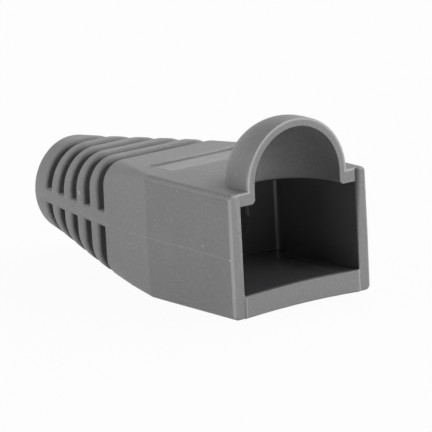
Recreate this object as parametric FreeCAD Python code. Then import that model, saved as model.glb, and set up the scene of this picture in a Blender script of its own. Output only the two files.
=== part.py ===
import FreeCAD, Part
import math
import os

from FreeCAD import Vector

# Strain relief boot for an eight-pole modular plug, moulded in one piece of
# soft PVC.  X is across the boot, +Y runs from the plug mouth to the cable
# tail, +Z is up.  The boot is built with its mouth at Y = 0 and its underside
# at Z = 0, then moved so that the origin is under the middle of the whole.
# All sizes are millimetres, all angles degrees.

# --- What the boot fits -------------------------------------------------------
plug_width = 11.7            # modular plug body, side to side
plug_height = 7.25           # rear of the plug body, without its latch
plug_clearance = 0.05        # room left on each side of the plug
plug_depth = 10.5            # how far the plug goes into the boot
cable_diameter = 5.5         # round network cable
cable_clearance = 0.05       # room left round the cable

# --- Plug housing -------------------------------------------------------------
side_wall = 1.1
floor_wall = 1.85
roof_wall = 1.1
housing_length = 11.2        # the sides run straight this far
underside_length = 9.7       # the underside lies flat this far
floor_bow = 0.2              # rise of the floor and underside at mid width
foot_width = 0.4             # flat strip left beside each lower edge
parting_height = 5.05        # where the two halves of the mould meet, at the housing
side_draft = 0.35            # lean of the sides, each way from the parting line
long_edge_radius = 0.45      # edges along the housing
mouth_rim_radius = 0.15      # outer edge of the mouth
cavity_corner_radius = 0.4   # upright corners at the back of the plug space

# --- Lip and set-back round the mouth ------------------------------------------
lip_proud = 0.1              # the floor's end stands out past the side walls
lip_root = 0.5               # how far the lip's block reaches back into the floor
lip_corner_radius = 0.28     # upper corners of the lip's end face
lip_chamfer = 0.08           # edge round the lip's end face
hood_setback = 0.04          # the hood's end lies behind the side walls

# --- Hood over the plug's latch -------------------------------------------------
hood_radius = 5.05
hood_wall = 0.7
hood_straight = 1.15         # length of the hood ahead of its round back
hood_foot = 0.1              # upright part between the roof and the round
latch_edge_chamfer = 0.25    # lower edge of the latch opening

# --- Thumb ramp on the roof -----------------------------------------------------
ramp_width = 9.1
ramp_start = 10.7
ramp_length = 3.2
ramp_drop = 0.2

# --- Cable tail -------------------------------------------------------------------
boot_length = 31.0           # mouth to tail end
cable_height = 5.4           # height of the cable's axis
tail_wall = 1.2              # wall round the cable at the tail's end
round_end = 1.5              # length of the tail's end that is fully round
taper_start = 2.2            # angle at which each side leaves the housing
taper_end = 12.5             # angle at which each side reaches the tail's end
roof_slope_start = 0.0       # the same for the roof
roof_slope_end = 3.5
underside_slope_end = 4.6    # the underside leaves the housing level
tail_rim_radius = 0.7
rim_lean = 15.0              # angle at which that rounding runs out on the tail
bore_chamfer = 0.2           # eased edge where the cable comes out
lead_in_flare = 0.2          # the funnel starts this much wider than the bore
lead_in_length = 1.5

# --- Flexing slots ------------------------------------------------------------------
slot_count = 5
slot_width = 1.0
slot_pitch = 2.4
end_ring = 2.5               # solid ring after the last slot
web_height = 1.31            # band that joins the ribs on each side

# --- Worked out from the above ---------------------------------------------------------
cavity_width = plug_width + 2 * plug_clearance
cavity_height = plug_height + 2 * plug_clearance
cavity_top = floor_wall + cavity_height
housing_width = cavity_width + 2 * side_wall
housing_height = cavity_top + roof_wall
bore_radius = cable_diameter / 2 + cable_clearance
tail_radius = bore_radius + tail_wall
hood_height = housing_height + hood_foot
ramp_end = ramp_start + ramp_length
first_slot = boot_length - end_ring - (slot_count - 1) * slot_pitch - slot_width
slot_starts = [first_slot + i * slot_pitch for i in range(slot_count)]
middle = (boot_length - lip_proud) / 2
past = 2.0                   # how far cutting tools run past what they cut
roundest = 0.98              # share of half a section that its corners may take
near = 0.01                  # distance at which an edge counts as on a plane


def slope(angle):
    return math.tan(math.radians(angle))


def between(y, start, end, first, last, first_slope, last_slope):
    """Value at y of a smooth curve with the given ends and end slopes."""
    run = end - start
    t = (y - start) / run
    return (first * (2 * t**3 - 3 * t**2 + 1) + first_slope * run * (t**3 - 2 * t**2 + t)
            + last * (3 * t**2 - 2 * t**3) + last_slope * run * (t**3 - t**2))


def half_width(y):
    """Half the boot's width at the parting line."""
    if y <= housing_length:
        return housing_width / 2
    return between(y, housing_length, boot_length, housing_width / 2, tail_radius,
                   -slope(taper_start), -slope(taper_end))


def underside(y):
    """Height of the underside."""
    if y <= underside_length:
        return 0.0
    return between(y, underside_length, boot_length, 0.0, cable_height - tail_radius,
                   0.0, slope(underside_slope_end))


def roof(y):
    """Height of the roof."""
    if y <= housing_length:
        return housing_height
    return between(y, housing_length, boot_length, housing_height, cable_height + tail_radius,
                   -slope(roof_slope_start), -slope(roof_slope_end))


def parting(y):
    """Height of the parting line, which climbs to the cable's axis along the tail."""
    if y <= housing_length:
        return parting_height
    return between(y, housing_length, boot_length, parting_height, cable_height, 0.0, 0.0)


def corner_radius(y):
    """Radius of the long edges, which open out until the tail is round."""
    rounding = boot_length - round_end - housing_length
    share = min(max((y - housing_length) / rounding, 0.0), 1.0)
    full = roundest * min(half_width(y), (roof(y) - underside(y)) / 2)
    return long_edge_radius + share * (full - long_edge_radius)


def line_edge(y, a, b):
    return Part.makeLine(Vector(a[0], y, a[1]), Vector(b[0], y, b[1]))


def arc_edge(y, a, m, b):
    return Part.Arc(Vector(a[0], y, a[1]), Vector(m[0], y, m[1]), Vector(b[0], y, b[1])).toShape()


def section(y):
    """Closed outline across the boot at y, sides leaning from the parting line."""
    r = corner_radius(y)
    cut = r * (1 - math.sqrt(0.5))
    bottom = underside(y)
    top = roof(y)
    wide = half_width(y)
    line = parting(y)
    foot = wide - slope(side_draft) * (line - bottom)
    head = wide - slope(side_draft) * (top - line)
    return Part.Wire([
        line_edge(y, (-foot + r, bottom), (foot - r, bottom)),
        arc_edge(y, (foot - r, bottom), (foot - cut, bottom + cut), (foot, bottom + r)),
        line_edge(y, (foot, bottom + r), (wide, line)),
        line_edge(y, (wide, line), (head, top - r)),
        arc_edge(y, (head, top - r), (head - cut, top - cut), (head - r, top)),
        line_edge(y, (head - r, top), (-head + r, top)),
        arc_edge(y, (-head + r, top), (-head + cut, top - cut), (-head, top - r)),
        line_edge(y, (-head, top - r), (-wide, line)),
        line_edge(y, (-wide, line), (-foot, bottom + r)),
        arc_edge(y, (-foot, bottom + r), (-foot + cut, bottom + cut), (-foot + r, bottom)),
    ])


def block(x0, x1, y0, y1, z0, z1):
    return Part.makeBox(x1 - x0, y1 - y0, z1 - z0, Vector(x0, y0, z0))


def edges_at(shape, y):
    """Edges that lie in the plane across the boot at y."""
    return [e for e in shape.Edges if abs(e.BoundBox.YMin - y) < near and abs(e.BoundBox.YMax - y) < near]


def upright_edges(shape):
    return [e for e in shape.Edges if e.BoundBox.ZLength > near
            and e.BoundBox.XLength < near and e.BoundBox.YLength < near]


def outer_skin():
    """Housing, the short stretch where the underside starts to lift, and the tail."""
    housing = Part.Face(section(0)).extrude(Vector(0, underside_length, 0))
    lift = Part.makeLoft([section(underside_length), section(housing_length)], True, False)
    shoulder = (housing_length + first_slot) / 2
    joins = [start + slot_width / 2 for start in slot_starts]
    stations = [housing_length, shoulder] + joins + [boot_length]
    tail = Part.makeLoft([section(y) for y in stations], True, True)
    return housing.fuse([lift, tail.cut(tail_rounding())]).removeSplitter()


def tail_rounding():
    """Ring that rounds the tail's outer edge over."""
    lean = math.radians(rim_lean)
    depth = boot_length - tail_rim_radius
    rise = tail_radius - tail_rim_radius * (1 / math.cos(lean) - math.tan(lean))
    far = housing_width

    def spot(turn):
        return Vector(0, depth + tail_rim_radius * math.sin(turn),
                      cable_height + rise + tail_rim_radius * math.cos(turn))
    outer = spot(lean)
    inner = spot(math.pi / 2)
    curve = Part.Arc(outer, spot((lean + math.pi / 2) / 2), inner).toShape()
    outline = Part.Wire([curve] + Part.makePolygon([
        inner,
        Vector(0, boot_length + past, inner.z),
        Vector(0, boot_length + past, cable_height + far),
        Vector(0, outer.y, cable_height + far),
        outer,
    ]).Edges)
    return Part.Face(outline).revolve(Vector(0, 0, cable_height), Vector(0, 1, 0), 360)


def under_bow():
    """Shallow channel that the bowed floor leaves along the underside."""
    half = housing_width / 2 - long_edge_radius - foot_width
    outline = Part.Wire([
        arc_edge(-past, (-half, 0), (0, floor_bow), (half, 0)),
        line_edge(-past, (half, 0), (-half, 0)),
    ])
    return Part.Face(outline).extrude(Vector(0, boot_length / 2 + past, 0))


def dome(radius, base):
    """Half cylinder closed at its back by a quarter sphere, with an upright foot down to base."""
    tip = Vector(0, hood_straight + radius, hood_height)
    shoulder = Vector(radius, hood_straight, hood_height)
    elbow = Vector(radius * math.sqrt(0.5), hood_straight + radius * math.sqrt(0.5), hood_height)
    centre = Vector(0, 0, hood_height)
    edge = Vector(radius, 0, hood_height)
    plan = Part.Face(Part.Wire([
        Part.makeLine(centre, edge),
        Part.makeLine(edge, shoulder),
        Part.Arc(shoulder, elbow, tip).toShape(),
        Part.makeLine(tip, centre),
    ]))
    round_top = plan.revolve(centre, Vector(0, 1, 0), -180)
    other = plan.mirror(Vector(0, 0, 0), Vector(1, 0, 0))
    feet = [half.extrude(Vector(0, 0, base - hood_height)) for half in (plan, other)]
    return round_top.fuse(feet).removeSplitter()


def plug_space():
    """Room for the plug, with a bowed floor and rounded corners at its back."""
    half = cavity_width / 2
    outline = Part.Wire([
        arc_edge(-past, (-half, floor_wall), (0, floor_wall + floor_bow), (half, floor_wall)),
        line_edge(-past, (half, floor_wall), (half, cavity_top)),
        line_edge(-past, (half, cavity_top), (-half, cavity_top)),
        line_edge(-past, (-half, cavity_top), (-half, floor_wall)),
    ])
    room = Part.Face(outline).extrude(Vector(0, past + plug_depth, 0))
    corners = [e for e in upright_edges(room) if e.BoundBox.YMin > 0]
    return room.makeFillet(cavity_corner_radius, corners)


def hollow(room):
    """The plug space together with the room under the hood for the plug's latch."""
    latch = dome(hood_radius - hood_wall, floor_wall + cavity_height / 2)
    inside = room.fuse(latch)
    brink = [e for e in inside.Edges if e.BoundBox.ZLength < near
             and abs(e.BoundBox.ZMin - cavity_top) < near
             and -near < e.BoundBox.YMin and e.BoundBox.YMax < plug_depth]
    return inside.makeChamfer(latch_edge_chamfer, brink)


def cable_way():
    """Funnel, bore and eased end that the cable leaves by."""
    axis = Vector(0, 1, 0)
    start = Vector(0, plug_depth, cable_height)
    ease = Vector(0, boot_length - bore_chamfer, cable_height)
    funnel = Part.makeCone(bore_radius + lead_in_flare, bore_radius, lead_in_length, start, axis)
    bore = Part.makeCylinder(bore_radius, boot_length - plug_depth + past, start, axis)
    eased = Part.makeCone(bore_radius, bore_radius + 2 * bore_chamfer, 2 * bore_chamfer, ease, axis)
    return bore.fuse([funnel, eased])


def floor_lip(room, bow):
    """End of the floor, which stands a little proud of the side walls."""
    half = cavity_width / 2
    lip = block(-half, half, -lip_proud, lip_root, 0, floor_wall + floor_bow)
    lip = lip.cut([room, bow])
    corners = [e for e in lip.Edges if e.BoundBox.YLength > near
               and abs(e.BoundBox.ZMin - floor_wall) < near and abs(e.BoundBox.ZMax - floor_wall) < near]
    lip = lip.makeFillet(lip_corner_radius, corners)
    return lip.makeChamfer(lip_chamfer, edges_at(lip, -lip_proud))


def hood_relief():
    """Thin slice taken off the ends of the hood and shoulders."""
    half = cavity_width / 2
    return block(-half, half, -past, hood_setback, cavity_top, hood_height + hood_radius + past)


def thumb_ramp():
    """Shallow wedge cut into the roof behind the hood, ending in a step."""
    side = -ramp_width / 2
    outline = Part.makePolygon([
        Vector(side, ramp_start, roof(ramp_start)),
        Vector(side, ramp_end, roof(ramp_end) - ramp_drop),
        Vector(side, ramp_end, housing_height + past),
        Vector(side, ramp_start, housing_height + past),
        Vector(side, ramp_start, roof(ramp_start)),
    ])
    return Part.Face(outline).extrude(Vector(ramp_width, 0, 0))


def slots():
    """Cutters for the cross slots, above and below the side webs."""
    web_top = cable_height + web_height / 2
    web_bottom = cable_height - web_height / 2
    reach = housing_width
    cutters = []
    for start in slot_starts:
        end = start + slot_width
        cutters.append(block(-reach, reach, start, end, web_top, housing_height + past))
        cutters.append(block(-reach, reach, start, end, -past, web_bottom))
    return cutters


room = plug_space()
bow = under_bow()
hood = dome(hood_radius, housing_height - roof_wall / 2)
boot = outer_skin().cut(bow).fuse(hood).removeSplitter()
boot = boot.makeFillet(mouth_rim_radius, edges_at(boot, 0))
boot = boot.cut([hollow(room), cable_way()])
boot = boot.cut(slots() + [thumb_ramp(), hood_relief()])
boot = boot.fuse(floor_lip(room, bow))
boot.translate(Vector(0, -middle, 0))

os.makedirs("parts", exist_ok=True)
boot.Solids[0].exportStep("parts/boot.step")
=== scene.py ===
import math

import bmesh
import bpy
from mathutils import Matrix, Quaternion, Vector, noise
from mathutils.bvhtree import BVHTree
from mathutils.interpolate import poly_3d_calc


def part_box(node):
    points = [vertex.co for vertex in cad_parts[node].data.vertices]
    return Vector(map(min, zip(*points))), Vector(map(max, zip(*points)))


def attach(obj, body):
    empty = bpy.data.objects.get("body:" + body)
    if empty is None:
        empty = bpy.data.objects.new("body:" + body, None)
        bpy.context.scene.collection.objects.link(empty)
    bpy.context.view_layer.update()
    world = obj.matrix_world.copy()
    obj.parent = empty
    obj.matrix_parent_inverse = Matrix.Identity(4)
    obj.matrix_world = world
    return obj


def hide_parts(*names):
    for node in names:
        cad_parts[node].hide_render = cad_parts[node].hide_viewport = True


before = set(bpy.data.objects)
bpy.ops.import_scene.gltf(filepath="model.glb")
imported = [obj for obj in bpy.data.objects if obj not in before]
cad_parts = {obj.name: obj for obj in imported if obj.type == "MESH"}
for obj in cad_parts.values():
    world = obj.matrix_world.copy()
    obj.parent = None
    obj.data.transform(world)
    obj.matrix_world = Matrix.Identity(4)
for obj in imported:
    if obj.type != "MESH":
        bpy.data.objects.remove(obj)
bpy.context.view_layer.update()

# ---------------------------------------------------------------------------
# The boot.
# One moulding in soft grey PVC.  The outside has the dull, faintly mottled
# skin of a sand-blasted steel mould; the plug space was drawn off a polished
# core, so it is smoother; its colour there is darker, as painted shade.
# ---------------------------------------------------------------------------

MM = 0.001
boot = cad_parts["boot"]
boot_low, boot_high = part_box("boot")

CABLE_HEIGHT = 5.4 * MM
BORE_CLEAR = 3.3 * MM        # the slots' outer edges are all further from the cable's axis
SLOT_COUNT = 5
SLOT_WIDTH = 1.0 * MM
SLOT_PITCH = 2.4 * MM
END_RING = 2.5 * MM          # solid ring behind the last slot
SLOTS_END = boot_high.y - END_RING
SLOTS_START = SLOTS_END - SLOT_WIDTH - (SLOT_COUNT - 1) * SLOT_PITCH
SLOT_STARTS = [SLOTS_START + i * SLOT_PITCH for i in range(SLOT_COUNT)]
WEB_HALF = 0.655 * MM        # half the height of the webs that join the ribs
SLOT_EDGE = 0.30 * MM        # radius that the slots' outer edges are rounded to
EDGE_STEPS = 4               # flats in that rounding
HOUSING_END = -4.25 * MM     # where the sides start to taper
UNDERSIDE_END = -5.75 * MM   # where the underside starts to lift
SHARP = math.radians(28)     # edges that turn more than this stay sharp
FLAT = math.radians(0.1)     # faces that turn less than this are joined
NEAR = 0.01 * MM
SAME = 0.1 * NEAR            # points closer than this are one point
SHORT = 0.8 * NEAR           # edges shorter than this are closed up
WALL_FACES = 0.7             # a slot's walls face further along the cable than this, the skin less


def on_web(place):
    """True for a place at the height of a web's upper or lower edge."""
    return abs(abs(place.z - CABLE_HEIGHT) - WEB_HALF) < NEAR


def in_tail(place):
    """True for a place in the slotted length, outside the bore and the slots' inner edges."""
    return (SLOTS_START - 2 * SLOT_EDGE < place.y < SLOTS_END + 2 * SLOT_EDGE
            and math.hypot(place.x, place.z - CABLE_HEIGHT) > BORE_CLEAR)


def on_skin(face):
    """True for a face of the tail's outer skin, not of a slot."""
    places = [v.co for v in face.verts]
    return (abs(face.normal.y) < WALL_FACES and all(in_tail(p) for p in places)
            and not all(on_web(p) for p in places))


def skin_depth(place):
    """How far in the rounded skin lies at place, which may be beside a slot."""
    beside = min(max(start - place.y, place.y - start - SLOT_WIDTH, 0.0) for start in SLOT_STARTS)
    under = max(WEB_HALF - abs(place.z - CABLE_HEIGHT), 0.0)
    left = SLOT_EDGE - math.hypot(beside, under)
    return SLOT_EDGE - math.sqrt(SLOT_EDGE**2 - left**2) if left > 0.0 else 0.0


def skin_ways_out(mesh):
    """Gives the direction out of the tail's skin at a place, from the CAD's own normals.

    The CAD's mesh is all triangles, so each face of the tree has three points of its own.
    """
    shape = bmesh.new()
    shape.from_mesh(mesh)
    shape.normal_update()
    skin = [f for f in shape.faces if on_skin(f)]
    corners = [[v.co.copy() for v in f.verts] for f in skin]
    ways = [[mesh.corner_normals[c.index].vector.copy() for c in f.loops] for f in skin]
    shape.free()
    points = [p for places in corners for p in places]
    faces = [(3 * i, 3 * i + 1, 3 * i + 2) for i in range(len(corners))]
    tree = BVHTree.FromPolygons(points, faces)

    def way_out(place):
        hit, _, i, _ = tree.find_nearest(place)
        shares = poly_3d_calc(corners[i], hit)
        out = sum((way * share for way, share in zip(ways[i], shares)), Vector())
        out.y = 0.0
        return out.normalized()

    return way_out


def cut_tail(shape, place, way):
    """Cuts the faces of the tail along a plane, without opening them."""
    faces = [f for f in shape.faces if any(in_tail(v.co) for v in f.verts)]
    edges = list({e for f in faces for e in f.edges})
    verts = list({v for f in faces for v in f.verts})
    bmesh.ops.bisect_plane(shape, geom=verts + edges + faces, dist=SAME,
                           plane_co=place, plane_no=way)


def cut_beside_slots(shape):
    """Gives the skin the rows of points that bend round each slot and web."""
    for i in range(EDGE_STEPS + 1):
        back = SLOT_EDGE * (1 - math.sin(math.radians(90 * i / EDGE_STEPS)))
        for start in SLOT_STARTS:
            cut_tail(shape, (0, start - back, 0), (0, 1, 0))
            cut_tail(shape, (0, start + SLOT_WIDTH + back, 0), (0, 1, 0))
        for side in (-1, 1):
            cut_tail(shape, (0, 0, CABLE_HEIGHT + side * (WEB_HALF - back)), (0, 0, 1))
    short = [e for e in shape.edges if all(in_tail(v.co) for v in e.verts)]
    bmesh.ops.dissolve_degenerate(shape, edges=short, dist=SHORT)
    loose = [e for e in shape.edges if not e.link_faces]
    bmesh.ops.delete(shape, geom=loose, context="EDGES")
    shape.normal_update()


def round_slot_edges(shape):
    """Moves the skin beside the slots inward, which leaves their outer edges round."""
    way_out = skin_ways_out(boot.data)
    skin = {v for f in shape.faces if on_skin(f) for v in f.verts}
    moves = [(v, way_out(v.co) * -skin_depth(v.co)) for v in skin]
    for vert, move in moves:
        vert.co += move


def keep_creases(mesh):
    """Smooth shading, sharp at the mould's edges and where the taper and the underside start."""
    mesh.polygons.foreach_set("use_smooth", [True] * len(mesh.polygons))
    mesh.set_sharp_from_angle(angle=SHARP)
    for edge in mesh.edges:
        ends = [mesh.vertices[i].co.y for i in edge.vertices]
        for plane in (HOUSING_END, UNDERSIDE_END):
            if max(abs(y - plane) for y in ends) < NEAR:
                edge.use_edge_sharp = True


def boot_moulding():
    """The boot with the outer edges of its slots rounded, as the mould's blades leave them."""
    shape = bmesh.new()
    shape.from_mesh(boot.data)
    bmesh.ops.remove_doubles(shape, verts=shape.verts, dist=SAME)
    bmesh.ops.dissolve_limit(shape, angle_limit=FLAT, verts=shape.verts, edges=shape.edges)
    cut_beside_slots(shape)
    round_slot_edges(shape)
    mesh = bpy.data.meshes.new("boot_moulding")
    shape.to_mesh(mesh)
    shape.free()
    keep_creases(mesh)
    piece = bpy.data.objects.new("boot_moulding", mesh)
    bpy.context.collection.objects.link(piece)
    level = piece.modifiers.new("even_faces", "WEIGHTED_NORMAL")
    level.keep_sharp = True
    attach(piece, "root")
    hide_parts("boot")
    return piece


moulding = boot_moulding()

PVC_GREY = (0.179, 0.179, 0.183, 1.0)
PVC_PALE = (0.228, 0.228, 0.231, 1.0)
PVC_FLECK = (0.300, 0.300, 0.300, 1.0)
# painted shade: the plug's room is coloured darker than the skin outside
PVC_PLUG_ROOM_SHADE = (0.122, 0.123, 0.129, 1.0)
# pale for worn edges and crumbs, and for the highlights painted on the rim and the lip
PVC_WEAR_AND_HIGHLIGHT = (0.440, 0.440, 0.440, 1.0)
SPECK_PALE = (0.420, 0.420, 0.415, 1.0)

# each noise: its scale and detail, and the part of its range from no effect to all of it
CLOUD = (300.0, 4.0)         # uneven mixing, in patches of about 3 mm
CLOUD_RANGE = (0.3, 0.7)
CLOUD_SHARE = 0.45           # how much of the colour's change is cloud, the rest is mottle
MOTTLE = (3600.0, 2.0)       # fine mottle of about a quarter of a millimetre
MOTTLE_RANGE = (0.25, 0.75)
FLECK = (5200.0, 1.0)        # paler flecks in the mottle
FLECK_RANGE = (0.55, 0.80)
FLECK_SHARE = 0.5
GRAIN = (7000.0, 2.0)        # blasted grain
GRAIN_DEPTH = 0.012 * MM
GRAIN_STRENGTH = 0.7
GRAIN_ON_CORE = 0.25         # what polishing leaves of the grain

# specks of unmixed filler
SPECK_SCALE = 380.0          # room for one speck in each 2.6 mm
SPECK_SIZE = 0.032           # as a share of that room
SPECK_MIDDLE = 0.6           # share of a speck that has its full colour
SPECK_COVER = 0.7

# sheen
SHEEN_DULL = (0.50, 0.60)    # roughness of the blasted skin, which varies with the clouds
SHEEN_CORE = 0.24
SHEEN_SMOOTHER = 0.1           # taken off the roughness on worn edges and under the painted highlights, and on the ramp
PVC_IOR = 1.5

# the plug's room and the roof
MOUTH = boot_low.y + 0.1 * MM    # plane of the side walls' ends, just behind the lip's
ROOF = 10.3 * MM
PLUG_ROOM_MIDDLE = Vector((0.0, -10.1, 5.40)) * MM
PLUG_ROOM_HALF = Vector((6.2, 5.2, 3.90)) * MM
CORE_SOFT = 0.05 * MM        # the polished skin ends within this of the plug's room
FACES_UP = (0.5, 0.8)        # upward share of a face's normal, from not the roof to wholly roof

# pale edges: painted highlights on the mouth's rim and the lip's corners, and real wear on the rest
HOOD_RADIUS = 5.05 * MM
HOOD_CENTRE = Vector((0.0, -14.3, 10.4)) * MM
RIM_IN = (0.09 * MM, 0.24 * MM)    # painted highlight full up to the first, none past the second
RIM_BACK = (MOUTH + 0.10 * MM, MOUTH + 0.26 * MM)
RIM_TURN = (0.0, 0.6)        # the painted highlight weakens from a face that looks level to one that looks mostly up, which the lamps light more
RIM_ON_TOP = 0.15
RIM_ON_HOOD = 0.85           # the painted highlight reaches a little further in on the hood's rim than on the walls'
LIP_HALF = 5.9 * MM
# width of the painted highlight on the lip's corners, which also lightens the shade on the lip's
# flank
LIP_HIGHLIGHT = 0.25 * MM
LIP_TOP = (2.2 * MM, 2.3 * MM)
NOTCH_FOOT = (9.2 * MM, 9.3 * MM)  # above it the walls turn in to meet the hood
# strength of the fainter painted highlight where the walls meet the hood
NOTCH_HIGHLIGHT = 0.3
HAIR = 0.02 * MM             # over which a painted highlight on a corner fades
EDGE_ROUND = 0.06 * MM       # how far the moulded edges are eased
EDGE_TURN = (0.995, 0.90)    # cosine of the turn in an eased edge, from unworn to worn
EDGE_RAYS = 8
WORN_BACK = (MOUTH + 0.3 * MM, MOUTH + 0.5 * MM)   # edges are worn from here on back
WORN_ALL_OVER = 0.9          # more wear than this is a crumb's, which is pale all over

# the thumb ramp, its streaks of painted sheen, and the step at its end, painted lighter against its
# shade
RAMP_HALF = 4.55 * MM
RAMP_START = -4.75 * MM
RAMP_END = -1.55 * MM
RAMP_FADE = 0.5 * MM
RAMP_SIDE_FADE = 0.05 * MM
STREAK_DRAW = (0.13, 1.0, 1.0)     # streaks are drawn out across the ramp
STREAK = (4200.0, 2.0)
STREAK_RANGE = (0.3, 0.7)
# painted sheen: the streaks brighten the ramp by up to this much
STREAK_SHEEN = (0.98, 1.33)
STEP_LENGTH = 0.06 * MM
STEP_LENGTH_FADE = 0.04 * MM
STEP_FOOT = 9.8 * MM
STEP_TOP = 10.22 * MM
STEP_FADE = 0.05 * MM
# painted light on the step's wall, which lies in the hood's shade
STEP_LIGHT = 1.75

# the roof: painted shade round the hood's foot, and scuffs
NOOK_SHADE_REACH = 2.4 * MM
NOOK_SHADE_OFF_HOOD = (-0.4 * MM, -0.2 * MM)
NOOK_SHADE_BACK = (MOUTH + 0.2 * MM, MOUTH + 0.5 * MM)
NOOK_SHADE_TONE = 0.80
SCUFF = (2300.0, 3.0)
SCUFF_RANGE = (0.48, 0.62)
SCUFF_TONE = 0.90

# the sides, of the tail and of the housing
TAIL_CREASE = 0.04 * MM
TAIL_LIGHT = (1.13, 1.04)     # painted light: the tail's sides are paler than the housing's, less so from the slots on
SIDE_FROM = (6.6 * MM, 6.7 * MM)   # the housing's sides lie further out than this
BAND_FOOT = 9.90 * MM        # pale band just under the roof's long edges
BAND_TOP = 10.10 * MM
BAND_FADE = 0.04 * MM
BAND_TONE = 1.11
LINE_FOOT = 9.76 * MM        # fine line that the tool left below the band
LINE_TOP = 9.84 * MM
LINE_FADE = 0.05 * MM
LINE_TONE = 0.94


class Wiring:
    """Short names for the shader nodes that a finish is put together from."""

    def __init__(self, tree):
        self.nodes = tree.nodes
        self.links = tree.links

    def put(self, target, value):
        if isinstance(value, bpy.types.NodeSocket):
            self.links.new(value, target)
        else:
            target.default_value = value

    def math(self, operation, first, second=0.0):
        node = self.nodes.new("ShaderNodeMath")
        node.operation = operation
        self.put(node.inputs[0], first)
        self.put(node.inputs[1], second)
        return node.outputs["Value"]

    def vector(self, operation, first, second=(0.0, 0.0, 0.0), out="Vector"):
        node = self.nodes.new("ShaderNodeVectorMath")
        node.operation = operation
        self.put(node.inputs[0], first)
        self.put(node.inputs[1], second)
        return node.outputs[out]

    def scaled(self, value, share):
        node = self.nodes.new("ShaderNodeVectorMath")
        node.operation = "SCALE"
        self.put(node.inputs[0], value)
        self.put(node.inputs["Scale"], share)
        return node.outputs["Vector"]

    def product(self, total, *others):
        for other in others:
            total = self.math("MULTIPLY", total, other)
        return total

    def highest(self, top, *others):
        for other in others:
            top = self.math("MAXIMUM", top, other)
        return top

    def opposite(self, share):
        """1 where share is 0, 0 where it is 1."""
        return self.math("SUBTRACT", 1.0, share)

    def parts(self, value):
        node = self.nodes.new("ShaderNodeSeparateXYZ")
        self.put(node.inputs["Vector"], value)
        return node.outputs["X"], node.outputs["Y"], node.outputs["Z"]

    def length(self, x, y, z):
        node = self.nodes.new("ShaderNodeCombineXYZ")
        self.put(node.inputs["X"], x)
        self.put(node.inputs["Y"], y)
        self.put(node.inputs["Z"], z)
        return self.vector("LENGTH", node.outputs["Vector"], out="Value")

    def remap(self, value, low, high, to_low, to_high):
        node = self.nodes.new("ShaderNodeMapRange")
        self.put(node.inputs["Value"], value)
        node.inputs["From Min"].default_value = low
        node.inputs["From Max"].default_value = high
        node.inputs["To Min"].default_value = to_low
        node.inputs["To Max"].default_value = to_high
        return node.outputs["Result"]

    def rise(self, value, low, high):
        """0 up to low, climbing to 1 at high."""
        return self.remap(value, low, high, 0.0, 1.0)

    def fade(self, value, low, high):
        """1 up to low, falling to 0 at high."""
        return self.remap(value, low, high, 1.0, 0.0)

    def between(self, value, low, high, soft):
        """1 from low to high, falling to 0 over soft beyond each."""
        return self.product(self.rise(value, low - soft, low), self.fade(value, high, high + soft))

    def tinted(self, share, factor):
        """1 where share is 0, factor where it is 1."""
        return self.math("ADD", 1.0, self.product(share, self.math("SUBTRACT", factor, 1.0)))

    def noise(self, place, scale, detail):
        node = self.nodes.new("ShaderNodeTexNoise")
        node.inputs["Scale"].default_value = scale
        node.inputs["Detail"].default_value = detail
        self.put(node.inputs["Vector"], place)
        return node.outputs["Fac"]

    def blend(self, share, first, second):
        node = self.nodes.new("ShaderNodeMix")
        node.data_type = "RGBA"
        self.put(node.inputs["Factor"], share)
        self.put(node.inputs["A"], first)
        self.put(node.inputs["B"], second)
        return node.outputs["Result"]


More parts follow.
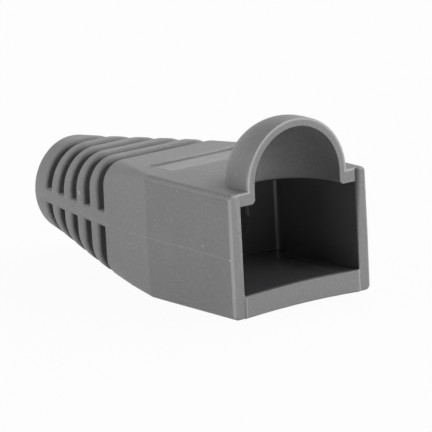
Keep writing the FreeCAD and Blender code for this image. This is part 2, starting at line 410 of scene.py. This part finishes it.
class MouldedSkin(Wiring):
    """The skin of the PVC, from where each point lies and which way it faces."""

    def __init__(self, group):
        super().__init__(group)
        self.given = self.nodes.new("NodeGroupInput").outputs
        seat = self.nodes.new("ShaderNodeTexCoord")
        self.place = seat.outputs["Object"]
        x, self.y, self.z = self.parts(self.place)
        self.across = self.math("ABSOLUTE", x)
        self.up = self.parts(seat.outputs["Normal"])[2]
        self.facing_up = self.rise(self.up, *FACES_UP)
        self.from_hood = self.parts(self.vector("SUBTRACT", self.place, HOOD_CENTRE))
        self.cloud = self.noise(self.place, *CLOUD)
        self.mottle = self.noise(self.place, *MOTTLE)
        self.core = self.polished_core()
        self.off_core = self.opposite(self.core)
        self.pale_wear_and_highlight = self.wear_and_rim_highlights()
        self.across_ramp = self.between(self.across, 0.0, RAMP_HALF, RAMP_SIDE_FADE)
        self.ramp = self.product(self.facing_up, self.across_ramp, self.off_core,
                                 self.between(self.y, RAMP_START, RAMP_END, RAMP_FADE))

    def polished_core(self):
        """1 in the plug's room, which the polished core leaves."""
        off_middle = self.vector("ABSOLUTE", self.vector("SUBTRACT", self.place, PLUG_ROOM_MIDDLE))
        past = self.parts(self.vector("SUBTRACT", off_middle, PLUG_ROOM_HALF))
        return self.fade(self.highest(*past), -CORE_SOFT, CORE_SOFT)

    def rim_highlight(self):
        """Painted highlight on the mouth's rim: how far in from the outline, how far back, and not
        much on top.
        """
        x, _, z = self.from_hood
        in_walls = self.math("MINIMUM", self.math("SUBTRACT", boot_high.x, self.across),
                             self.math("SUBTRACT", ROOF, self.z))
        in_hood = self.math("SUBTRACT", HOOD_RADIUS, self.length(x, 0.0, z))
        inward = self.highest(in_walls, self.product(in_hood, RIM_ON_HOOD))
        return self.product(self.fade(inward, *RIM_IN), self.fade(self.y, *RIM_BACK),
                            self.remap(self.up, *RIM_TURN, 1.0, RIM_ON_TOP))

    def lip_highlight(self):
        """Painted highlight on the lip's upright corners, which also lightens the shade on its
        flank, and a fainter one where the walls meet the hood.
        """
        corner = self.product(self.rise(self.across, LIP_HALF - LIP_HIGHLIGHT, LIP_HALF - HAIR),
                              self.fade(self.across, LIP_HALF + HAIR, LIP_HALF + 2 * HAIR),
                              self.fade(self.y, MOUTH - HAIR / 2, MOUTH + HAIR))
        notch = self.remap(self.z, *NOTCH_FOOT, 0.0, NOTCH_HIGHLIGHT)
        return self.product(corner, self.highest(self.fade(self.z, *LIP_TOP), notch))

    def wear_and_rim_highlights(self):
        """Painted highlights on the rim and the lip's corners and, behind them, the edges that
        handling has worn.
        """
        wear = self.given["Wear"]
        worn_here = self.highest(self.rise(self.y, *WORN_BACK),
                                 self.math("GREATER_THAN", wear, WORN_ALL_OVER))
        worn = self.product(wear, self.off_core, worn_here)
        return self.highest(self.rim_highlight(), self.lip_highlight(), worn)

    def ramp_light(self):
        """Painted sheen in streaks across the thumb ramp's width, and painted light on its step,
        brighter still, against the hood's shade.
        """
        drawn = self.vector("MULTIPLY", self.place, STREAK_DRAW)
        sheen_streaks = self.remap(self.noise(drawn, *STREAK), *STREAK_RANGE, *STREAK_SHEEN)
        step = self.product(self.across_ramp,
                            self.between(self.y, RAMP_END - STEP_LENGTH, RAMP_END, STEP_LENGTH_FADE),
                            self.between(self.z, STEP_FOOT, STEP_TOP, STEP_FADE))
        return self.product(self.tinted(self.ramp, sheen_streaks), self.tinted(step, STEP_LIGHT))

    def roof_shade_and_scuffs(self):
        """Painted shade in the nook between hood and roof, and scuffs on the roof ahead of the ramp.
        """
        x, y, z = self.from_hood
        reach = self.length(x, self.math("MAXIMUM", y, 0.0), z)
        off_hood = self.math("SUBTRACT", reach, HOOD_RADIUS)
        off_nook = self.highest(off_hood, self.math("SUBTRACT", self.z, ROOF))
        # painted shade, strongest where hood and roof meet
        nook_shade = self.product(self.fade(off_nook, 0.0, NOOK_SHADE_REACH),
                             self.rise(off_hood, *NOOK_SHADE_OFF_HOOD), self.rise(self.y, *NOOK_SHADE_BACK))
        patches = self.rise(self.noise(self.place, *SCUFF), *SCUFF_RANGE)
        scuffs = self.product(self.facing_up, self.off_core, patches,
                              self.fade(self.y, RAMP_START, RAMP_START + RAMP_FADE))
        return self.product(self.tinted(nook_shade, NOOK_SHADE_TONE), self.tinted(scuffs, SCUFF_TONE))

    def side_tone(self):
        """Painted light that makes the tail's sides paler, and a pale band with a fine line below it
        along the roof's edges.
        """
        behind = self.rise(self.y, HOUSING_END - TAIL_CREASE, HOUSING_END + TAIL_CREASE)
        tail_side = self.product(behind, self.opposite(self.facing_up))
        tail_light = self.remap(self.y, HOUSING_END, SLOTS_START, *TAIL_LIGHT)
        housing_side = self.product(self.rise(self.across, *SIDE_FROM), self.opposite(behind))
        band = self.product(housing_side, self.between(self.z, BAND_FOOT, BAND_TOP, BAND_FADE))
        line = self.product(housing_side, self.between(self.z, LINE_FOOT, LINE_TOP, LINE_FADE))
        return self.product(self.tinted(tail_side, tail_light), self.tinted(band, BAND_TONE),
                            self.tinted(line, LINE_TONE))

    def specks(self):
        """A few pale specks of unmixed filler, none of them on the polished core."""
        speck = self.nodes.new("ShaderNodeTexVoronoi")
        speck.inputs["Scale"].default_value = SPECK_SCALE
        self.put(speck.inputs["Vector"], self.place)
        chance = self.nodes.new("ShaderNodeSeparateColor")
        self.put(chance.inputs["Color"], speck.outputs["Color"])
        spot = self.remap(speck.outputs["Distance"], SPECK_MIDDLE * SPECK_SIZE, SPECK_SIZE,
                          SPECK_COVER, 0.0)
        chosen = self.math("LESS_THAN", chance.outputs["Red"], self.given["Speck Share"])
        return self.product(spot, chosen, self.off_core)

    def colour(self):
        """Slow clouds and a fine mottle, with painted shade in the plug's room, paler where worn and
        where highlights are painted.
        """
        clouds = self.product(self.rise(self.cloud, *CLOUD_RANGE), CLOUD_SHARE)
        mottles = self.product(self.rise(self.mottle, *MOTTLE_RANGE), 1.0 - CLOUD_SHARE)
        flecks = self.remap(self.noise(self.place, *FLECK), *FLECK_RANGE, 0.0, FLECK_SHARE)
        mixed = self.blend(self.math("ADD", clouds, mottles), PVC_GREY, PVC_PALE)
        mixed = self.blend(flecks, mixed, PVC_FLECK)
        tone = self.product(self.ramp_light(), self.roof_shade_and_scuffs(), self.side_tone())
        # painted shade darkens the plug's room
        mixed = self.blend(self.core, self.scaled(mixed, tone), PVC_PLUG_ROOM_SHADE)
        # paler where edges are worn and where highlights are painted on the rim and the lip
        mixed = self.blend(self.pale_wear_and_highlight, mixed, PVC_WEAR_AND_HIGHLIGHT)
        return self.blend(self.specks(), mixed, SPECK_PALE)

    def roughness(self):
        """Dull outside, smoother inside, on the ramp, on worn edges and under the painted
        highlights.
        """
        dull = self.product(self.remap(self.cloud, *CLOUD_RANGE, *SHEEN_DULL), self.off_core)
        sheen = self.math("ADD", dull, self.product(self.core, SHEEN_CORE))
        smoother = self.highest(self.pale_wear_and_highlight, self.ramp)
        return self.math("SUBTRACT", sheen, self.product(smoother, SHEEN_SMOOTHER))

    def relief(self):
        """The blasted grain, most of it gone where the core was polished."""
        grain = self.math("ADD", self.noise(self.place, *GRAIN), self.mottle)
        return self.product(grain, self.remap(self.core, 0.0, 1.0, 1.0, GRAIN_ON_CORE))


SKIN_SOCKETS = (
    ("Wear", "INPUT", "NodeSocketFloat"),
    ("Speck Share", "INPUT", "NodeSocketFloat"),
    ("Colour", "OUTPUT", "NodeSocketColor"),
    ("Roughness", "OUTPUT", "NodeSocketFloat"),
    ("Relief", "OUTPUT", "NodeSocketFloat"),
)


def moulded_skin():
    """Node group that gives the PVC's colour, roughness and relief at each place."""
    group = bpy.data.node_groups.new("moulded_pvc_skin", "ShaderNodeTree")
    for name, way, kind in SKIN_SOCKETS:
        group.interface.new_socket(name=name, in_out=way, socket_type=kind)
    skin = MouldedSkin(group)
    result = group.nodes.new("NodeGroupOutput").inputs
    skin.put(result["Colour"], skin.colour())
    skin.put(result["Roughness"], skin.roughness())
    skin.put(result["Relief"], skin.relief())
    return group


skin_group = moulded_skin()


def soft_pvc(name, wear, speck_share=0.0, edge_round=0.0):
    """Grey PVC in the moulded skin, worn all over or, where its edges are eased, along them."""
    mat = bpy.data.materials.new(name)
    mat.use_nodes = True
    wire = Wiring(mat.node_tree)
    surface = wire.nodes["Principled BSDF"]
    surface.inputs["IOR"].default_value = PVC_IOR
    skin = wire.nodes.new("ShaderNodeGroup")
    skin.node_tree = skin_group
    skin.inputs["Speck Share"].default_value = speck_share
    skin.inputs["Wear"].default_value = wear
    relief = wire.nodes.new("ShaderNodeBump")
    relief.inputs["Strength"].default_value = GRAIN_STRENGTH
    relief.inputs["Distance"].default_value = GRAIN_DEPTH
    if edge_round:
        eased = wire.nodes.new("ShaderNodeBevel")
        eased.samples = EDGE_RAYS
        eased.inputs["Radius"].default_value = edge_round
        flat = wire.nodes.new("ShaderNodeNewGeometry").outputs["Normal"]
        turn = wire.vector("DOT_PRODUCT", eased.outputs["Normal"], flat, out="Value")
        wire.put(skin.inputs["Wear"], wire.remap(turn, *EDGE_TURN, 0.0, wear))
        wire.put(relief.inputs["Normal"], eased.outputs["Normal"])
    wire.put(relief.inputs["Height"], skin.outputs["Relief"])
    wire.put(surface.inputs["Normal"], relief.outputs["Normal"])
    wire.put(surface.inputs["Base Color"], skin.outputs["Colour"])
    wire.put(surface.inputs["Roughness"], skin.outputs["Roughness"])
    return mat


boot_pvc = soft_pvc("soft_grey_pvc", wear=0.15, speck_share=0.3, edge_round=EDGE_ROUND)
moulding.data.materials.append(boot_pvc)

# ---------------------------------------------------------------------------
# Parting ridges.
# Where the two halves of the mould meet, a hair's breadth of PVC stands up
# along each side, from the mouth to the tail's end.  It is highest near the
# mouth, where the mould closed least well, and all but gone along the tail.
# ---------------------------------------------------------------------------

RIDGE_START = boot_low.y + 0.3 * MM
RIDGE_END = boot_high.y - 0.8 * MM
RIDGE_HALF_WIDTH = 0.13 * MM
RIDGE_HIGH = 0.024 * MM      # how proud it stands at its start
RIDGE_LOW = 0.004 * MM       # and at its end
RIDGE_ROOT = 0.010 * MM      # how deep its foot reaches into the boot
RIDGE_STEPS = 90
RIDGE_Z_HOUSING = 5.05 * MM
RIDGE_Z_TAIL = 5.4 * MM
REACH = 20 * MM              # how far out a ray starts that looks for the boot's side

boot_skin = BVHTree.FromPolygons([v.co for v in boot.data.vertices],
                                 [tuple(p.vertices) for p in boot.data.polygons])
trim_pvc = soft_pvc("soft_grey_pvc_trim", wear=0.1)


def side_point(side, y, z):
    """Point of the boot's side at y and z; side is -1 or 1."""
    return boot_skin.ray_cast(Vector((side * REACH, y, z)), Vector((-side, 0, 0)))[0]


def parting_height(y):
    """Height of the parting line, level along the housing and climbing along the tail."""
    t = min(max((y - HOUSING_END) / (boot_high.y - HOUSING_END), 0.0), 1.0)
    return RIDGE_Z_HOUSING + (RIDGE_Z_TAIL - RIDGE_Z_HOUSING) * (3 * t**2 - 2 * t**3)


def add_piece(name, mesh, mat):
    piece = bpy.data.objects.new(name, mesh)
    bpy.context.collection.objects.link(piece)
    mesh.materials.append(mat)
    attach(piece, "root")


def parting_ridge(name, side):
    """A strip with a three-cornered section, closed at both ends."""
    points = []
    for i in range(RIDGE_STEPS + 1):
        share = i / RIDGE_STEPS
        y = RIDGE_START + (RIDGE_END - RIDGE_START) * share
        z = parting_height(y)
        x = side_point(side, y, z).x
        proud = RIDGE_LOW + (RIDGE_HIGH - RIDGE_LOW) * (1 - share)**2
        points.append((x - side * RIDGE_ROOT, y, z - RIDGE_HALF_WIDTH))
        points.append((x + side * proud, y, z))
        points.append((x - side * RIDGE_ROOT, y, z + RIDGE_HALF_WIDTH))
    last = 3 * RIDGE_STEPS
    faces = [(2, 1, 0), (last, last + 1, last + 2)]
    for first in range(0, last, 3):
        for j in range(3):
            k = (j + 1) % 3
            faces.append((first + j, first + k, first + 3 + k, first + 3 + j))
    if side < 0:
        faces = [tuple(reversed(f)) for f in faces]
    mesh = bpy.data.meshes.new(name)
    mesh.from_pydata(points, [], faces)
    add_piece(name, mesh, trim_pvc)


parting_ridge("parting_ridge_left", -1)
parting_ridge("parting_ridge_right", 1)

# ---------------------------------------------------------------------------
# Flash nub and crumbs.
# A nub of flash is left where the parting line meets the mouth's left edge,
# and a few crumbs trimmed off the parting line have stuck to the soft PVC.
# Each is a small lump of the same PVC, pressed half into the side.
# ---------------------------------------------------------------------------

LUMP_UNEVEN = 0.25           # how much its outline varies
LUMP_DENTS = 1.7             # dents across it
LUMP_SPREAD = 900            # takes each lump to its own part of the noise, so no two are alike
# name, distance back from the front, height, half length, half height and how proud, in mm
LUMPS = (
    ("flash_nub", 0.26, 5.00, 0.20, 0.10, 0.05),
    ("crumb_side", 3.81, 5.61, 0.09, 0.09, 0.05),
    ("crumb_top", 6.95, 9.65, 0.05, 0.04, 0.05),
    ("crumb_rear", 14.40, 5.08, 0.06, 0.05, 0.06),
    ("crumb_rib", 22.10, 6.90, 0.13, 0.20, 0.05),
)


def lump(name, back, height, half_length, half_height, proud, mat):
    """An uneven pebble set into the left side."""
    y = boot_low.y + back * MM
    middle = side_point(-1, y, height * MM)
    shape = bmesh.new()
    bmesh.ops.create_icosphere(shape, subdivisions=3, radius=1.0)
    for v in shape.verts:
        v.co *= 1.0 + LUMP_UNEVEN * noise.noise(v.co * LUMP_DENTS + middle * LUMP_SPREAD)
        v.co = Vector((v.co.x * proud, v.co.y * half_length, v.co.z * half_height)) * MM + middle
    mesh = bpy.data.meshes.new(name)
    shape.to_mesh(mesh)
    shape.free()
    mesh.polygons.foreach_set("use_smooth", [True] * len(mesh.polygons))
    add_piece(name, mesh, mat)


crumb_pvc = soft_pvc("soft_grey_pvc_crumb", wear=1.0)
for row in LUMPS:
    lump(*row, crumb_pvc)

# ---------------------------------------------------------------------------
# Studio.
# A pale table that runs on as far as it is seen, in a white room.  The soft
# boxes that do most stand low, in front on the right and behind on the left,
# so the light rakes along the mouth and leaves the plug space dark.
# ---------------------------------------------------------------------------

TABLE_HALF = 1.5
TABLE_WHITE = (0.9, 0.9, 0.9, 1.0)
TABLE_GLOW = 0.95            # share of the table's look that is plain white, the rest takes shadow
ROOM_LIGHT = 0.0             # the room is seen and mirrored white, but doesn't light the boot
LIGHT_DISTANCE = 0.6
LIGHT_SIZE = 0.42
# name, azimuth and elevation in degrees, strength in watts
LIGHTS = (
    ("low_right_front", 38, 5, 3.42),
    ("low_right_side", 56, 5, 1.00),
    ("mid_right", 92, 27, 1.65),
    ("low_left_back", -106, 5, 2.11),
    ("low_left", -84, 5, 0.41),
    ("high_right_back", 128, 50, 0.77),
    ("high_left_back", -128, 50, 0.67),
    ("front", 15, 15, 0.15),
)


def seen_white(wire):
    """1 for what the camera, a reflection or a clear piece sees, 0 for light that bounces."""
    path = wire.nodes.new("ShaderNodeLightPath")
    seen = wire.math("MAXIMUM", path.outputs["Is Camera Ray"], path.outputs["Is Glossy Ray"])
    return wire.math("MAXIMUM", seen, path.outputs["Is Transmission Ray"])


def white_table():
    mesh = bpy.data.meshes.new("table")
    corners = [(-TABLE_HALF, -TABLE_HALF, 0), (TABLE_HALF, -TABLE_HALF, 0),
               (TABLE_HALF, TABLE_HALF, 0), (-TABLE_HALF, TABLE_HALF, 0)]
    mesh.from_pydata(corners, [], [(0, 1, 2, 3)])
    table = bpy.data.objects.new("table", mesh)
    bpy.context.collection.objects.link(table)
    mat = bpy.data.materials.new("table_white")
    mat.use_nodes = True
    wire = Wiring(mat.node_tree)
    matt = wire.nodes["Principled BSDF"]
    matt.inputs["Base Color"].default_value = TABLE_WHITE
    matt.inputs["Roughness"].default_value = 1.0
    matt.inputs["Specular IOR Level"].default_value = 0.0
    glow = wire.nodes.new("ShaderNodeEmission")
    both = wire.nodes.new("ShaderNodeMixShader")
    wire.put(both.inputs["Fac"], wire.math("MULTIPLY", seen_white(wire), TABLE_GLOW))
    wire.put(both.inputs[1], matt.outputs["BSDF"])
    wire.put(both.inputs[2], glow.outputs["Emission"])
    wire.put(wire.nodes["Material Output"].inputs["Surface"], both.outputs["Shader"])
    mesh.materials.append(mat)


def white_room():
    room = bpy.data.worlds.new("white_room")
    bpy.context.scene.world = room
    room.use_nodes = True
    wire = Wiring(room.node_tree)
    air = wire.nodes["Background"]
    air.inputs["Color"].default_value = (1.0, 1.0, 1.0, 1.0)
    air.inputs["Strength"].default_value = ROOM_LIGHT
    wall = wire.nodes.new("ShaderNodeBackground")
    wall.inputs["Color"].default_value = (1.0, 1.0, 1.0, 1.0)
    wall.inputs["Strength"].default_value = 1.0
    both = wire.nodes.new("ShaderNodeMixShader")
    wire.put(both.inputs["Fac"], seen_white(wire))
    wire.put(both.inputs[1], air.outputs["Background"])
    wire.put(both.inputs[2], wall.outputs["Background"])
    wire.put(wire.nodes["World Output"].inputs["Surface"], both.outputs["Shader"])


def soft_box(name, azimuth, elevation, strength):
    """A square soft box that faces the middle of the boot."""
    lamp = bpy.data.lights.new(name, "AREA")
    lamp.shape = "SQUARE"
    lamp.size = LIGHT_SIZE
    lamp.energy = strength
    holder = bpy.data.objects.new(name, lamp)
    bpy.context.collection.objects.link(holder)
    a, e = math.radians(azimuth), math.radians(elevation)
    away = Vector((math.sin(a) * math.cos(e), -math.cos(a) * math.cos(e), math.sin(e)))
    holder.location = (boot_low + boot_high) / 2 + away * LIGHT_DISTANCE
    holder.rotation_mode = "QUATERNION"
    holder.rotation_quaternion = (-away).to_track_quat("-Z", "Y")


white_table()
white_room()
for row in LIGHTS:
    soft_box(*row)

# ---------------------------------------------------------------------------
# Camera.
# A long lens half a metre away, a little above the boot and in front of it on
# the left, so that it looks into the mouth and along the left side.
# ---------------------------------------------------------------------------

EYE_PLACE = Vector((-286.507, -384.927, 120.238)) * MM
EYE_AIM = Vector((-0.55, -5.09, 5.83)) * MM
EYE_ROLL = math.radians(-2.88)

LENS_LENGTH = 500.0
SENSOR_WIDTH = 36.0
CLIP_NEAR = 0.01
CLIP_FAR = 10.0

lens = bpy.data.cameras.new("camera")
lens.lens = LENS_LENGTH
lens.sensor_width = SENSOR_WIDTH
lens.clip_start = CLIP_NEAR
lens.clip_end = CLIP_FAR
eye = bpy.data.objects.new("camera", lens)
bpy.context.collection.objects.link(eye)
eye.location = EYE_PLACE
eye.rotation_mode = "QUATERNION"
look = (EYE_AIM - EYE_PLACE).to_track_quat("-Z", "Y")
eye.rotation_quaternion = look @ Quaternion((0, 0, 1), EYE_ROLL)
bpy.context.scene.camera = eye
bpy.context.scene.view_settings.view_transform = "Standard"
